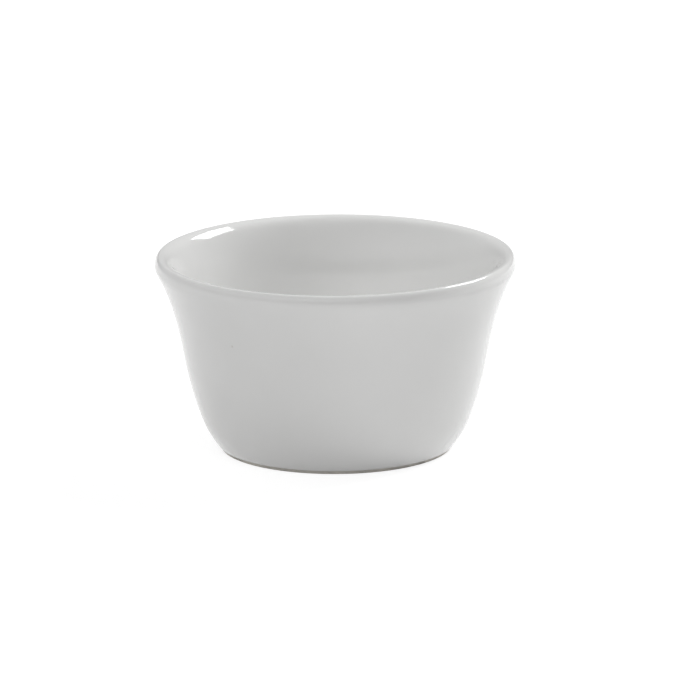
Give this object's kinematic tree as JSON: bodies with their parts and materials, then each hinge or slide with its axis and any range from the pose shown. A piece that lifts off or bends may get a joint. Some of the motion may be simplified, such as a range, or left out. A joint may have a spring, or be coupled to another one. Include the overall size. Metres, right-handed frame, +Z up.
{
  "type": "ramekin",
  "caption": "Round flared ramekin of glazed porcelain with a rolled lip, a rounded heel and a bare foot ring around a shallow well.",
  "frame": {"origin": "on the table under the middle of the foot ring", "axes": "+Z up along the axis of the turned form, from the foot to the mouth"},
  "size_m": [0.09, 0.09, 0.049],
  "materials": {
    "bisque": "matte",
    "glaze": "gloss"
  },
  "bodies": {
    "root": {"clay_body": "bisque", "glaze_coat": "glaze", "well_glaze": "glaze"}
  },
  "joints": []
}
